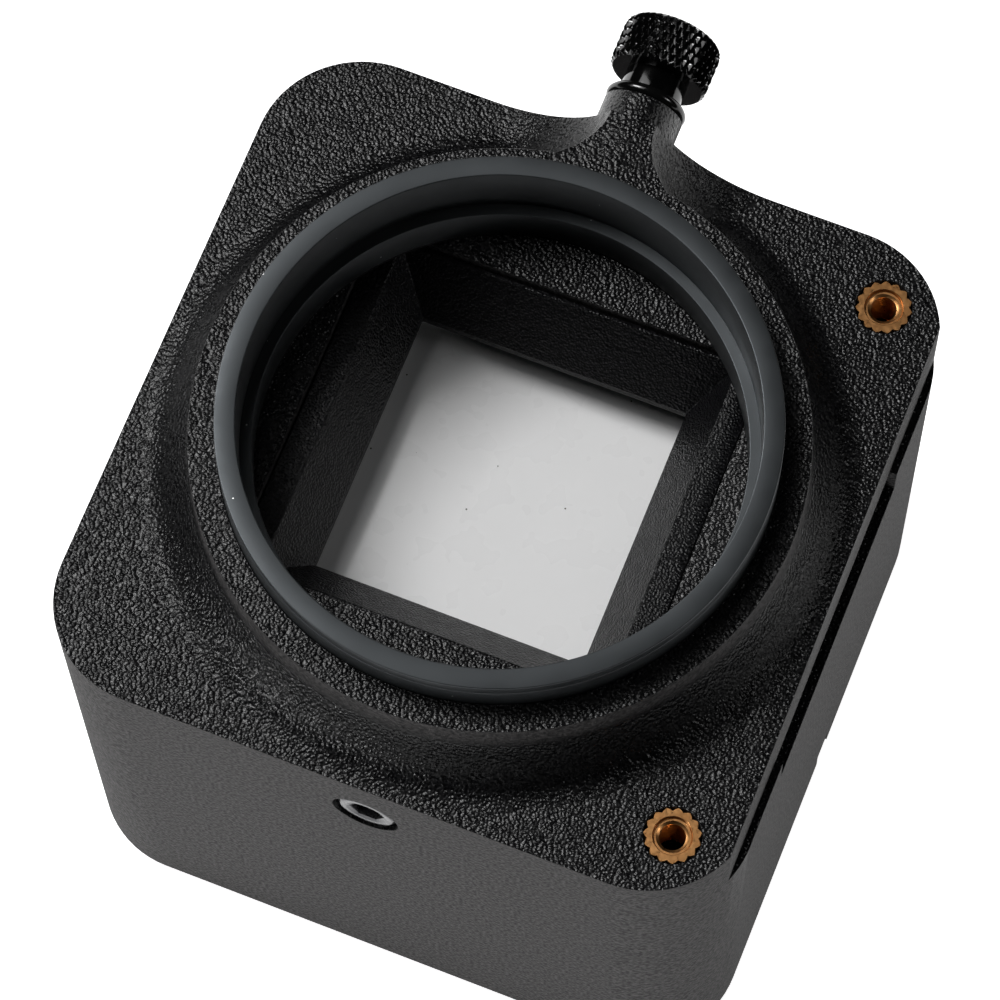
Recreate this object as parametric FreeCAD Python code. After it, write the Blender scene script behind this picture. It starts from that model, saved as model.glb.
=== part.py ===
"""Film copying box: a printed nylon housing with a clamped lens ring on top, a film gate with an
opal plate under a square window, and a light tunnel that opens at the base.

Millimetres, +Z along the optical axis. The origin is on that axis, in the plane of the base.
The clamping thumbscrew is on the +Y side, the locking grub screw on the -Y side, and the two
accessory inserts are beside the +X wall. Threads are plain cylinders."""
import FreeCAD
import Part
import math
import os

V = FreeCAD.Vector
Y, Z = V(0, 1, 0), V(0, 0, 1)

# ---- housing -------------------------------------------------------------------------------------
HOUSING_X = 91.0
HOUSING_Y = 91.0
HOUSING_Z = 73.5
CORNER_RADIUS = 13.7
WALL = 3.5
DECK = 3.0
COLUMN = 10.5             # side of the square column in each corner

# ---- lens ring and the collar that holds it ------------------------------------------------------
RING_BORE_D = 64.0
SKIRT_WALL = 1.1          # wall of the adapter's skirt
RING_BORE_LENGTH = 8.9
SLEEVE_WALL = 1.5         # wall of the sleeve around the skirt
RING_LIP = 1.4            # how far the sleeve's lip stands inside the bore
RING_LIP_HEIGHT = 6.3
RING_FLANGE = 1.8
COLLAR_WALL = 3.5
COLLAR_HEIGHT = 10.1
COVE_RADIUS = 7.2
SEAL_THICKNESS = 0.45

# ---- clamping thumbscrew -------------------------------------------------------------------------
BOSS_WALL = 1.7           # wall of the boss around its insert
BOSS_REACH = 3.4          # how far the boss stands out of the +Y wall
BOSS_COVE = 16.0          # run of the cove on each side of the boss, at the wall
CLAMP_THREAD_D = 5.0
CLAMP_INSERT_WALL = 1.0
CLAMP_INSERT_LENGTH = 6.0
CLAMP_TIP_LENGTH = 3.0
CLAMP_NECK_D = 8.0
CLAMP_NECK_LENGTH = 3.0
HEAD_D = 13.0
HEAD_LENGTH = 6.4
HEAD_CAP = 1.4            # solid end of the head beyond its bore
O_RING_SECTION = 1.6
SHOULDER_STEP = 0.25      # how much smaller the shoulder is than the neck
RIDGE_ROOT = 0.78         # where the ridge starts, as a share of the crest's radius
RIDGE_TIP = 0.29          # half width of the ridge's top at the wall, as a share of the boss
RIDGE_FLARE = 2.2         # power of the flare from the tip to the root
RIDGE_MARGIN = 1.5        # how far the root's top stays inside the crest

# ---- film gate -----------------------------------------------------------------------------------
WINDOW = 36.0             # side of the square film window
WINDOW_LIP = 1.5
FUNNEL_SPREAD_X = 4.7     # how much wider the funnel is at its top, on each side
FUNNEL_SPREAD_Y = 5.4
FUNNEL_HEIGHT = 7.9
FUNNEL_RIM_X = 3.4        # width of the flat rim at the two X sides of the funnel
FUNNEL_RIM_Y = 0.5
MASK_RECESS = 1.3         # how far the rim lies below the deck
MASK_SHOULDER = 3.0       # step around the neck, under the deck
GATE_PLATE = 4.0
SLOT_MARGIN = 2.5         # how much wider the film slot is than the window, on each side
SLOT_HEIGHT = 5.0
OPAL_THICKNESS = 3.0
OPAL_OVERLAP = 5.0
CARRIER_LEDGE = 4.0       # how far the opal plate rests on its seat
CARRIER_THICKNESS = 7.0
GATE_SCREW_GAP = 1.0      # wall between the opal plate's seat and the gate's screws
LOCK_BLOCK = 4.0          # thickness of the block that the grub screw locks
LOCK_MARGIN = 2.0         # how much wider that block is than the grub screw, on each side

# ---- locking grub screw in the -Y wall -----------------------------------------------------------
GRUB_D = 7.9
GRUB_LENGTH = 6.0
GRUB_SOCKET = 4.0         # across flats
GRUB_INSERT_WALL = 1.2
GRUB_INSERT_LENGTH = 6.2
GRUB_SKIN = 1.3           # wall left in front of the insert
GRUB_PAD_LENGTH = 3.1
GRUB_PAD_STEP = 0.6       # how much smaller the pad is than the screw, radial
GRUB_SEAT_WALL = 2.0      # wall of the seat around the insert
GRUB_SEAT_GAP = 1.5       # between that seat and the gate
GRUB_RETREAT = 2.0        # from the insert's inner end to the face that is locked
GRUB_BELOW_DECK = 10.4

# ---- light tunnel and base -----------------------------------------------------------------------
TUNNEL_GAP = 1.5          # between the tunnel and the corner columns
TUNNEL_WALL = 1.5
BASE_RECESS = 4.0
BASE_FRAME = 3.0
BASE_LEDGE = 0.5          # how far the base frame stands inside the tunnel
NOTCH_WIDTH = 3.8
NOTCH_HEIGHT = 3.2
NOTCH_OFFSET = 2.3

# ---- side rebate ---------------------------------------------------------------------------------
REBATE_DEPTH = 1.0

# ---- brass inserts and small screws --------------------------------------------------------------
ACCESSORY_INSERT_D = 7.2
ACCESSORY_INSERT_LENGTH = 8.0
ACCESSORY_THREAD_D = 3.3
ACCESSORY_MOUTH_D = 4.7
ACCESSORY_MOUTH_DEPTH = 0.5
ACCESSORY_SINK = 0.15     # how far the inserts lie below the deck
SMALL_THREAD_D = 3.0
SMALL_INSERT_WALL = 0.8
SMALL_HEAD_RIM = 1.25     # how far a screw's head stands out of its thread
SMALL_HEAD_LENGTH = 2.8
SMALL_SOCKET_R = 1.3
SMALL_SOCKET_DEPTH = 1.5
SINK_SOCKET_R = 0.9
SINK_SOCKET_DEPTH = 1.2
BASE_INSERT_LENGTH = 6.0

# ---- clearances ----------------------------------------------------------------------------------
SLIDING = 0.10            # ring in collar, radial
RUNNING = 0.05            # turning screws, radial, and faces that part on a joint
LOOSE = 0.2               # parts placed inside the housing
SOCKET_GAP = 0.4          # holes that a screw only passes through, radial
END_GAP = 0.5             # between a small screw's end and the end of its insert
HEAD_TO_CORNER = 0.068    # between a base screw's head and the rounded corner of the cavity

# ---- diameters worked out from the sizes above ---------------------------------------------------
RING_OUTER_D = RING_BORE_D + 2 * (SKIRT_WALL + SLEEVE_WALL)
RING_LIP_D = RING_BORE_D - 2 * RING_LIP
RING_HEIGHT = RING_BORE_LENGTH + RING_LIP_HEIGHT
CLAMP_INSERT_D = CLAMP_THREAD_D + 2 * CLAMP_INSERT_WALL
BOSS_D = CLAMP_INSERT_D + 2 * BOSS_WALL
GRUB_INSERT_D = GRUB_D + 2 * (RUNNING + GRUB_INSERT_WALL)
SMALL_INSERT_D = SMALL_THREAD_D + 2 * SMALL_INSERT_WALL
SMALL_HEAD_D = SMALL_THREAD_D + 2 * SMALL_HEAD_RIM
FUNNEL_TOP_X = WINDOW + 2 * FUNNEL_SPREAD_X
FUNNEL_TOP_Y = WINDOW + 2 * FUNNEL_SPREAD_Y
SLOT_WIDTH = WINDOW + 2 * SLOT_MARGIN

# ---- heights worked out from the sizes above -----------------------------------------------------
DECK_UNDER = HOUSING_Z - DECK
COLLAR_TOP = HOUSING_Z + COLLAR_HEIGHT
RING_BOTTOM = HOUSING_Z + SEAL_THICKNESS + RUNNING
RING_TOP = RING_BOTTOM + RING_HEIGHT
MASK_TOP = HOUSING_Z - MASK_RECESS
LIP_TOP = MASK_TOP - FUNNEL_HEIGHT
SLOT_TOP = LIP_TOP - WINDOW_LIP
SLOT_BOTTOM = SLOT_TOP - SLOT_HEIGHT
CARRIER_BOTTOM = SLOT_BOTTOM - CARRIER_THICKNESS
BASE_TOP = BASE_RECESS + BASE_FRAME
BOSS_AXIS = HOUSING_Z + COLLAR_HEIGHT / 2 - RUNNING
GRUB_AXIS = HOUSING_Z - GRUB_BELOW_DECK

# ---- lengths worked out from the sizes above -----------------------------------------------------
INSIDE_X = HOUSING_X / 2 - WALL
INSIDE_Y = HOUSING_Y / 2 - WALL
DIAGONAL = math.sqrt(0.5)
CORNER_LOSS = (CORNER_RADIUS - WALL) * (1 - DIAGONAL)
FASTENER_INSET = CORNER_LOSS + SMALL_HEAD_D / 2 * DIAGONAL + HEAD_TO_CORNER
FASTENER_X = INSIDE_X - FASTENER_INSET
FASTENER_Y = INSIDE_Y - FASTENER_INSET
RING_R = RING_OUTER_D / 2
COLLAR_BORE_R = RING_R + SLIDING
CREST_R = COLLAR_BORE_R + COLLAR_WALL
NECK_X = FUNNEL_TOP_X / 2 + FUNNEL_RIM_X
NECK_Y = FUNNEL_TOP_Y / 2 + FUNNEL_RIM_Y
COLUMN_X = INSIDE_X - COLUMN
COLUMN_Y = INSIDE_Y - COLUMN
TUNNEL_X = COLUMN_X - TUNNEL_GAP
TUNNEL_Y = COLUMN_Y - TUNNEL_GAP
OPAL_HALF = WINDOW / 2 + OPAL_OVERLAP
GATE_SCREW = OPAL_HALF + GATE_SCREW_GAP + SMALL_THREAD_D / 2 + LOOSE
BOSS_FACE = HOUSING_Y / 2 + BOSS_REACH
GRUB_SEAT_R = GRUB_INSERT_D / 2 + GRUB_SEAT_WALL
INSERT_END = -HOUSING_Y / 2 + GRUB_SKIN + GRUB_INSERT_LENGTH
LOCK_FACE = INSERT_END + GRUB_RETREAT


def box(x0, x1, y0, y1, z0, z1):
    """A block between two corners."""
    return Part.makeBox(x1 - x0, y1 - y0, z1 - z0, V(x0, y0, z0))


def block(half_x, half_y, z0, z1):
    """A block centred on the optical axis."""
    return box(-half_x, half_x, -half_y, half_y, z0, z1)


def rod(radius, start, length, axis):
    """A cylinder from a start point along an axis."""
    return Part.makeCylinder(radius, length, start, axis)


def washer(outer, inner, start, length, axis):
    """A tube from a start point along an axis."""
    return rod(outer, start, length, axis).cut(rod(inner, start, length, axis))


def turned(profile, centre, axis):
    """A solid turned about an axis; the profile lists (radius, height) corners."""
    wire = Part.makePolygon([V(r, 0, h) for r, h in profile + profile[:1]])
    solid = Part.Face(wire).revolve(V(0, 0, 0), Z, 360)
    return placed(solid, centre, axis)


def placed(solid, centre, axis):
    """A solid drawn about +Z at the origin, turned to an axis and moved to its centre."""
    solid.Placement = FreeCAD.Placement(centre, FreeCAD.Rotation(Z, axis))
    return solid


def rounded_block(half_x, half_y, radius, z0, z1):
    """A block with its four upright edges rounded."""
    solid = block(half_x, half_y, z0, z1)
    upright = [e for e in solid.Edges if abs(e.tangentAt(e.FirstParameter).z) > 0.99]
    return solid.makeFillet(radius, upright)


def frustum(half_x0, half_y0, z0, half_x1, half_y1, z1):
    """A straight-sided funnel between two rectangles."""
    rings = []
    for hx, hy, z in ((half_x0, half_y0, z0), (half_x1, half_y1, z1)):
        corners = [V(-hx, -hy, z), V(hx, -hy, z), V(hx, hy, z), V(-hx, hy, z)]
        rings.append(Part.makePolygon(corners + corners[:1]))
    return Part.makeLoft(rings, True, True)


def four_corners(x, y):
    """The four places that mirror one point about both axes."""
    return [(sx * x, sy * y) for sx in (1, -1) for sy in (1, -1)]


def fuse_all(solids):
    """One clean solid from several that overlap."""
    return solids[0].multiFuse(solids[1:]).removeSplitter()


# ---- housing -------------------------------------------------------------------------------------

def collar():
    """Raised collar around the lens ring, with a concave cove down to the deck."""
    lift = COLLAR_HEIGHT - COVE_RADIUS
    foot = CREST_R + COVE_RADIUS
    start = V(CREST_R, 0, HOUSING_Z + lift + COVE_RADIUS)
    upper = V(CREST_R, 0, HOUSING_Z + COVE_RADIUS)
    bend = COVE_RADIUS * (1 - DIAGONAL)
    middle = V(CREST_R + bend, 0, HOUSING_Z + bend)
    lower = V(foot, 0, HOUSING_Z)
    edges = [Part.makeLine(start, upper),
             Part.Arc(upper, middle, lower).toShape(),
             Part.makeLine(lower, V(foot, 0, DECK_UNDER)),
             Part.makeLine(V(foot, 0, DECK_UNDER), V(0, 0, DECK_UNDER)),
             Part.makeLine(V(0, 0, DECK_UNDER), V(0, 0, start.z)),
             Part.makeLine(V(0, 0, start.z), start)]
    return Part.Face(Part.Wire(edges)).revolve(V(0, 0, 0), Z, 360)


def boss_section(y, half_top, run):
    """One cross-section of the ridge that carries the boss: flat top and two concave flanks."""
    foot, top, low = half_top + run, COLLAR_TOP, HOUSING_Z
    radius = (run ** 2 + COLLAR_HEIGHT ** 2) / (2 * COLLAR_HEIGHT)
    turn = math.asin(min(run / radius, 1.0)) / 2
    mid_x = foot - radius * math.sin(turn)
    mid_z = low + radius * (1 - math.cos(turn))
    base = DECK_UNDER
    right = Part.Arc(V(half_top, y, top), V(mid_x, y, mid_z), V(foot, y, low)).toShape()
    left = Part.Arc(V(-foot, y, low), V(-mid_x, y, mid_z), V(-half_top, y, top)).toShape()
    return Part.Wire([right,
                      Part.makeLine(V(foot, y, low), V(foot, y, base)),
                      Part.makeLine(V(foot, y, base), V(-foot, y, base)),
                      Part.makeLine(V(-foot, y, base), V(-foot, y, low)),
                      left,
                      Part.makeLine(V(-half_top, y, top), V(half_top, y, top))])


def boss_ridge():
    """Ridge from the collar to the boss: its crest flares from the boss into the collar's rim."""
    outer, inner = HOUSING_Y / 2, CREST_R * RIDGE_ROOT
    half_tip = BOSS_D * RIDGE_TIP
    half_root = math.sqrt(CREST_R ** 2 - inner ** 2) - RIDGE_MARGIN
    sections = []
    steps = 6
    for i in range(steps + 1):
        t = i / steps
        y = outer + (inner - outer) * t
        half_top = half_tip + (half_root - half_tip) * t ** RIDGE_FLARE
        run = BOSS_COVE + (COVE_RADIUS + 1 - BOSS_COVE) * t
        sections.append(boss_section(y, half_top, run))
    return Part.makeLoft(sections, True, False)


def housing_outside():
    """Outer form of the housing, still solid: deck, collar and ridge trimmed by the outer walls."""
    top = block(HOUSING_X, HOUSING_Y, -1, HOUSING_Z)
    top = top.fuse(collar())
    top = top.fuse(boss_ridge())
    walls = rounded_block(HOUSING_X / 2, HOUSING_Y / 2, CORNER_RADIUS, 0, COLLAR_TOP + 1)
    root = CREST_R * 0.9
    boss = rod(BOSS_D / 2, V(0, root, BOSS_AXIS), BOSS_FACE - root, Y)
    return top.common(walls).fuse(boss)


def housing():
    """Printed housing: four walls, deck, collar, clamp boss, corner columns and screw seats."""
    body = housing_outside()
    cavity = rounded_block(INSIDE_X, INSIDE_Y, CORNER_RADIUS - WALL, -1, DECK_UNDER)
    for x, y in four_corners(INSIDE_X - COLUMN / 2, INSIDE_Y - COLUMN / 2):
        half = COLUMN / 2 + 0.01
        cavity = cavity.cut(box(x - half, x + half, y - half, y + half, BASE_TOP, DECK_UNDER))
    body = body.cut(cavity)
    front = -INSIDE_Y - 0.01
    seat_length = INSERT_END + SOCKET_GAP - front
    body = body.fuse(rod(GRUB_SEAT_R, V(0, front, GRUB_AXIS), seat_length, Y))
    body = body.cut(rod(COLLAR_BORE_R, V(0, 0, HOUSING_Z), COLLAR_HEIGHT + 1, Z))
    body = body.cut(block(NECK_X + LOOSE, NECK_Y + LOOSE, DECK_UNDER - 1, HOUSING_Z))
    body = body.cut(block(HOUSING_X, SLOT_WIDTH / 2, SLOT_BOTTOM, SLOT_TOP))
    body = body.cut(box(HOUSING_X / 2 - REBATE_DEPTH, HOUSING_X, -HOUSING_Y, HOUSING_Y,
                        SLOT_TOP, COLLAR_TOP + 1))
    half_notch = NOTCH_WIDTH / 2
    body = body.cut(box(INSIDE_X - 1, HOUSING_X, NOTCH_OFFSET - half_notch,
                        NOTCH_OFFSET + half_notch, -1, NOTCH_HEIGHT))
    body = cut_screw_seats(body)
    return body.removeSplitter()


def cut_screw_seats(body):
    """Holes for the clamp screw, the grub screw and all the inserts in the housing."""
    clamp_hole = CLAMP_THREAD_D / 2 + SOCKET_GAP
    body = body.cut(rod(clamp_hole, V(0, RING_R - 2, BOSS_AXIS), BOSS_FACE - RING_R + 3, Y))
    body = body.cut(rod(CLAMP_INSERT_D / 2, V(0, BOSS_FACE - CLAMP_INSERT_LENGTH, BOSS_AXIS),
                        CLAMP_INSERT_LENGTH + 1, Y))
    wall = -HOUSING_Y / 2
    body = body.cut(rod(GRUB_D / 2 + SOCKET_GAP, V(0, wall - 1, GRUB_AXIS), GRUB_SKIN + 1.1, Y))
    body = body.cut(rod(GRUB_INSERT_D / 2, V(0, wall + GRUB_SKIN, GRUB_AXIS),
                        GRUB_INSERT_LENGTH + 1, Y))
    for y in (FASTENER_Y, -FASTENER_Y):
        body = body.cut(rod(ACCESSORY_INSERT_D / 2,
                            V(FASTENER_X, y, HOUSING_Z - ACCESSORY_INSERT_LENGTH),
                            ACCESSORY_INSERT_LENGTH + 1, Z))
    for x, y in four_corners(FASTENER_X, FASTENER_Y):
        body = body.cut(rod(SMALL_INSERT_D / 2, V(x, y, BASE_TOP - 1), BASE_INSERT_LENGTH + 3, Z))
    return body


# ---- lens ring -----------------------------------------------------------------------------------

def light_seal():
    """Felt ring on the deck, under the lens ring."""
    return washer(RING_R - 0.1, RING_LIP_D / 2 + 0.1, V(0, 0, HOUSING_Z), SEAL_THICKNESS, Z)


def lens_sleeve():
    """Tube that the collar clamps: it holds the adapter ring above a lip."""
    socket_r = RING_BORE_D / 2 + SKIRT_WALL
    ledge = RING_TOP - RING_BORE_LENGTH
    top = RING_TOP - RING_FLANGE
    soften = 0.25
    profile = [(RING_LIP_D / 2, RING_BOTTOM), (RING_R - soften, RING_BOTTOM),
               (RING_R, RING_BOTTOM + soften), (RING_R, top - soften), (RING_R - soften, top),
               (socket_r, top), (socket_r, ledge), (RING_LIP_D / 2, ledge)]
    return turned(profile, V(0, 0, 0), Z)


def adapter_ring():
    """Ring that takes the lens: a flange with a skirt that turns in the sleeve."""
    bore = RING_BORE_D / 2
    skirt = bore + SKIRT_WALL - RUNNING
    ledge = RING_TOP - RING_BORE_LENGTH + RUNNING
    under = RING_TOP - RING_FLANGE + RUNNING
    soften = 0.2
    profile = [(bore, ledge), (skirt, ledge), (skirt, under), (RING_R - soften, under),
               (RING_R, under + soften), (RING_R, RING_TOP - soften), (RING_R - soften, RING_TOP),
               (bore + soften, RING_TOP), (bore, RING_TOP - soften)]
    return turned(profile, V(0, 0, 0), Z)


# ---- clamping thumbscrew -------------------------------------------------------------------------

def clamp_insert():
    """Brass insert in the boss."""
    start = V(0, BOSS_FACE - CLAMP_INSERT_LENGTH, BOSS_AXIS)
    return washer(CLAMP_INSERT_D / 2, CLAMP_THREAD_D / 2, start, CLAMP_INSERT_LENGTH - LOOSE, Y)


def shoulder_start():
    """Where the screw's shoulder faces the boss."""
    return BOSS_FACE + RUNNING


def neck_end():
    """Where the neck ends under the head."""
    return shoulder_start() + O_RING_SECTION + CLAMP_NECK_LENGTH


def clamp_tip():
    """Nylon pad between the clamp screw and the lens ring: it advances and does not turn."""
    return rod(CLAMP_THREAD_D / 2 - LOOSE, V(0, RING_R + RUNNING, BOSS_AXIS), CLAMP_TIP_LENGTH, Y)


def clamp_screw():
    """Threaded shank, shoulder and neck of the thumbscrew, with the spigot inside its head."""
    shank_r = CLAMP_THREAD_D / 2 - RUNNING
    start = RING_R + CLAMP_TIP_LENGTH + 2 * RUNNING
    shoulder_r = CLAMP_NECK_D / 2 - SHOULDER_STEP
    shoulder, neck = shoulder_start(), shoulder_start() + O_RING_SECTION
    end = neck_end() + HEAD_LENGTH - HEAD_CAP
    profile = [(0, start), (shank_r - 0.4, start), (shank_r, start + 0.4), (shank_r, shoulder),
               (shoulder_r, shoulder), (shoulder_r, neck), (CLAMP_NECK_D / 2, neck),
               (CLAMP_NECK_D / 2, neck_end()), (shank_r, neck_end()), (shank_r, end), (0, end)]
    return turned(profile, V(0, 0, BOSS_AXIS), Y)


def clamp_head():
    """Knurled head, here with a plain rim."""
    bore = CLAMP_THREAD_D / 2 - RUNNING
    low, high = neck_end(), neck_end() + HEAD_LENGTH
    radius, chamfer, lead = HEAD_D / 2, 0.7, 0.35
    profile = [(bore, low), (radius - lead, low), (radius, low + lead), (radius, high - chamfer),
               (radius - chamfer, high), (0, high), (0, high - HEAD_CAP), (bore, high - HEAD_CAP)]
    return turned(profile, V(0, 0, BOSS_AXIS), Y)


def clamp_o_ring():
    """Rubber ring on the screw's shoulder, against the boss."""
    section = O_RING_SECTION / 2 - 0.02
    ring = Part.makeTorus(CLAMP_NECK_D / 2 - SHOULDER_STEP + O_RING_SECTION / 2, section)
    return placed(ring, V(0, shoulder_start() + O_RING_SECTION / 2, BOSS_AXIS), Y)


# ---- locking grub screw --------------------------------------------------------------------------

def grub_insert():
    """Black steel insert pressed into the front wall from inside."""
    start = V(0, -HOUSING_Y / 2 + GRUB_SKIN, GRUB_AXIS)
    return washer(GRUB_INSERT_D / 2, GRUB_D / 2 + RUNNING, start, GRUB_INSERT_LENGTH, Y)


def grub_inner_end():
    """Where the grub screw ends and its pad begins."""
    return LOCK_FACE - RUNNING - GRUB_PAD_LENGTH


def grub_screw():
    """Grub screw with a hexagon socket in its outer end."""
    radius, chamfer = GRUB_D / 2, 0.5
    profile = [(0, 0), (radius - chamfer, 0), (radius, chamfer), (radius, GRUB_LENGTH - chamfer),
               (radius - chamfer, GRUB_LENGTH), (0, GRUB_LENGTH)]
    end = grub_inner_end() - RUNNING
    screw = turned(profile, V(0, end, GRUB_AXIS), -Y)
    reach = GRUB_SOCKET / math.sqrt(3)
    corners = [V(reach * math.cos(i * math.pi / 3), 0, reach * math.sin(i * math.pi / 3))
               for i in range(7)]
    socket = Part.Face(Part.makePolygon(corners)).extrude(V(0, -GRUB_LENGTH * 0.6, 0))
    socket.translate(V(0, end - GRUB_LENGTH * 0.45, GRUB_AXIS))
    return screw.cut(socket)


def grub_pad():
    """Nylon pad between the grub screw and the gate."""
    return rod(GRUB_D / 2 - GRUB_PAD_STEP, V(0, grub_inner_end(), GRUB_AXIS), GRUB_PAD_LENGTH, Y)


# ---- film gate -----------------------------------------------------------------------------------

def gate_plate(z0, z1):
    """Cross-shaped plate that clears the corner columns and the grub screw's seat."""
    arm_x, arm_y = COLUMN_X - LOOSE, COLUMN_Y - LOOSE
    plate = fuse_all([block(INSIDE_X - LOOSE, arm_y, z0, z1),
                      block(arm_x, INSIDE_Y - LOOSE, z0, z1)])
    seat = GRUB_SEAT_R + GRUB_SEAT_GAP
    return plate.cut(box(-seat, seat, -HOUSING_Y, LOCK_FACE, z0 - 1, z1 + 1))


def gate_mask():
    """Upper half of the gate: a funnel down to the square window, and the face that is locked."""
    plate = gate_plate(SLOT_TOP, SLOT_TOP + GATE_PLATE)
    shoulder = block(NECK_X + MASK_SHOULDER, NECK_Y + MASK_SHOULDER, SLOT_TOP,
                     DECK_UNDER - LOOSE / 2)
    neck = block(NECK_X, NECK_Y, SLOT_TOP, MASK_TOP)
    lock = GRUB_D / 2 + LOCK_MARGIN
    lock_block = box(-lock, lock, LOCK_FACE, LOCK_FACE + LOCK_BLOCK, SLOT_BOTTOM + LOOSE,
                     SLOT_TOP + GATE_PLATE)
    mask = fuse_all([plate, shoulder, neck, lock_block])
    mask = mask.cut(block(WINDOW / 2, WINDOW / 2, SLOT_TOP - 1, MASK_TOP))
    mask = mask.cut(frustum(WINDOW / 2, WINDOW / 2, LIP_TOP, FUNNEL_TOP_X / 2, FUNNEL_TOP_Y / 2,
                            MASK_TOP))
    for x, y in four_corners(GATE_SCREW, GATE_SCREW):
        mask = mask.cut(rod(SMALL_INSERT_D / 2, V(x, y, SLOT_TOP - 1), GATE_PLATE + 1, Z))
    return mask.removeSplitter()


def film_guide(side):
    """Bar that bounds the film slot on one side and holds down the opal plate."""
    y0 = side * SLOT_WIDTH / 2
    y1 = side * (COLUMN_Y - LOOSE)
    low, high = SLOT_BOTTOM + RUNNING, SLOT_TOP - RUNNING
    bar = box(-INSIDE_X + LOOSE, INSIDE_X - LOOSE, min(y0, y1), max(y0, y1), low, high)
    for x in (GATE_SCREW, -GATE_SCREW):
        bar = bar.cut(rod(SMALL_THREAD_D / 2 + LOOSE, V(x, side * GATE_SCREW, low - 1),
                          high - low + 2, Z))
    return bar


def diffuser_carrier():
    """Lower half of the gate: a seat for the opal plate over a square opening."""
    plate = gate_plate(CARRIER_BOTTOM, SLOT_BOTTOM)
    opening = OPAL_HALF - CARRIER_LEDGE
    plate = plate.cut(block(opening, opening, CARRIER_BOTTOM - 1, SLOT_BOTTOM + 1))
    seat = OPAL_HALF + LOOSE / 2
    plate = plate.cut(block(seat, seat, SLOT_BOTTOM - OPAL_THICKNESS, SLOT_BOTTOM + 1))
    for x, y in four_corners(GATE_SCREW, GATE_SCREW):
        plate = plate.cut(rod(SMALL_THREAD_D / 2 + LOOSE, V(x, y, CARRIER_BOTTOM - 1),
                              CARRIER_THICKNESS + 2, Z))
        plate = plate.cut(rod(SMALL_HEAD_D / 2 + LOOSE, V(x, y, CARRIER_BOTTOM - 1),
                              SMALL_HEAD_LENGTH + LOOSE + 1, Z))
    return plate


def opal_diffuser():
    """Opal acrylic plate under the window."""
    return block(OPAL_HALF, OPAL_HALF, SLOT_BOTTOM - OPAL_THICKNESS, SLOT_BOTTOM)


def gate_screws():
    """Four cap screws that hold the two halves of the gate together."""
    low = CARRIER_BOTTOM + LOOSE
    under_head, top = low + SMALL_HEAD_LENGTH, SLOT_TOP + GATE_PLATE - END_GAP
    shank_r, socket_end = SMALL_THREAD_D / 2 - RUNNING, low + SMALL_SOCKET_DEPTH
    profile = [(SMALL_SOCKET_R, low), (SMALL_HEAD_D / 2, low), (SMALL_HEAD_D / 2, under_head),
               (shank_r, under_head), (shank_r, top), (0, top), (0, socket_end),
               (SMALL_SOCKET_R, socket_end)]
    return Part.makeCompound([turned(profile, V(x, y, 0), Z)
                              for x, y in four_corners(GATE_SCREW, GATE_SCREW)])


def gate_inserts():
    """Four brass inserts in the gate mask."""
    return Part.makeCompound([washer(SMALL_INSERT_D / 2, SMALL_THREAD_D / 2, V(x, y, SLOT_TOP),
                                     GATE_PLATE, Z)
                              for x, y in four_corners(GATE_SCREW, GATE_SCREW)])


# ---- light tunnel and base -----------------------------------------------------------------------

def light_tunnel():
    """Square white tube that evens out the light on its way up to the opal plate."""
    low, high = BASE_TOP, CARRIER_BOTTOM
    inside = block(TUNNEL_X - TUNNEL_WALL, TUNNEL_Y - TUNNEL_WALL, low - 1, high + 1)
    return block(TUNNEL_X, TUNNEL_Y, low, high).cut(inside)


def base_frame():
    """Frame screwed under the corner columns: it carries the tunnel, over the lamp's recess."""
    plate = rounded_block(INSIDE_X - LOOSE, INSIDE_Y - LOOSE, CORNER_RADIUS - WALL, BASE_RECESS,
                          BASE_TOP)
    ledge = TUNNEL_WALL + BASE_LEDGE
    plate = plate.cut(block(TUNNEL_X - ledge, TUNNEL_Y - ledge, BASE_RECESS - 1, BASE_TOP + 1))
    for x, y in four_corners(FASTENER_X, FASTENER_Y):
        plate = plate.cut(rod(SMALL_THREAD_D / 2 + LOOSE, V(x, y, BASE_RECESS - 1),
                              BASE_FRAME + 2, Z))
        plate = plate.cut(Part.makeCone(SMALL_HEAD_D / 2 + LOOSE, SMALL_THREAD_D / 2 + LOOSE,
                                        SMALL_HEAD_RIM, V(x, y, BASE_RECESS), Z))
    return plate


def base_screws():
    """Four countersunk screws that hold the base frame."""
    shank_r, low = SMALL_THREAD_D / 2 - RUNNING, BASE_RECESS
    top, socket_end = BASE_TOP + BASE_INSERT_LENGTH - END_GAP, low + SINK_SOCKET_DEPTH
    profile = [(SINK_SOCKET_R, low), (SMALL_HEAD_D / 2, low), (shank_r, low + SMALL_HEAD_RIM),
               (shank_r, top), (0, top), (0, socket_end), (SINK_SOCKET_R, socket_end)]
    return Part.makeCompound([turned(profile, V(x, y, 0), Z)
                              for x, y in four_corners(FASTENER_X, FASTENER_Y)])


def base_inserts():
    """Four brass inserts in the feet of the corner columns."""
    return Part.makeCompound([washer(SMALL_INSERT_D / 2, SMALL_THREAD_D / 2, V(x, y, BASE_TOP),
                                     BASE_INSERT_LENGTH, Z)
                              for x, y in four_corners(FASTENER_X, FASTENER_Y)])


def accessory_inserts():
    """Two brass inserts, open upwards, in the deck beside the +X wall."""
    bore, mouth = ACCESSORY_THREAD_D / 2, ACCESSORY_MOUTH_D / 2
    top, low = HOUSING_Z - ACCESSORY_SINK, HOUSING_Z - ACCESSORY_INSERT_LENGTH
    outer, step = ACCESSORY_INSERT_D / 2, HOUSING_Z - ACCESSORY_SINK - ACCESSORY_MOUTH_DEPTH
    profile = [(bore, low), (outer, low), (outer, top), (mouth, top), (mouth, step),
               (bore, step - (mouth - bore))]
    return Part.makeCompound([turned(profile, V(FASTENER_X, y, 0), Z)
                              for y in (FASTENER_Y, -FASTENER_Y)])


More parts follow.
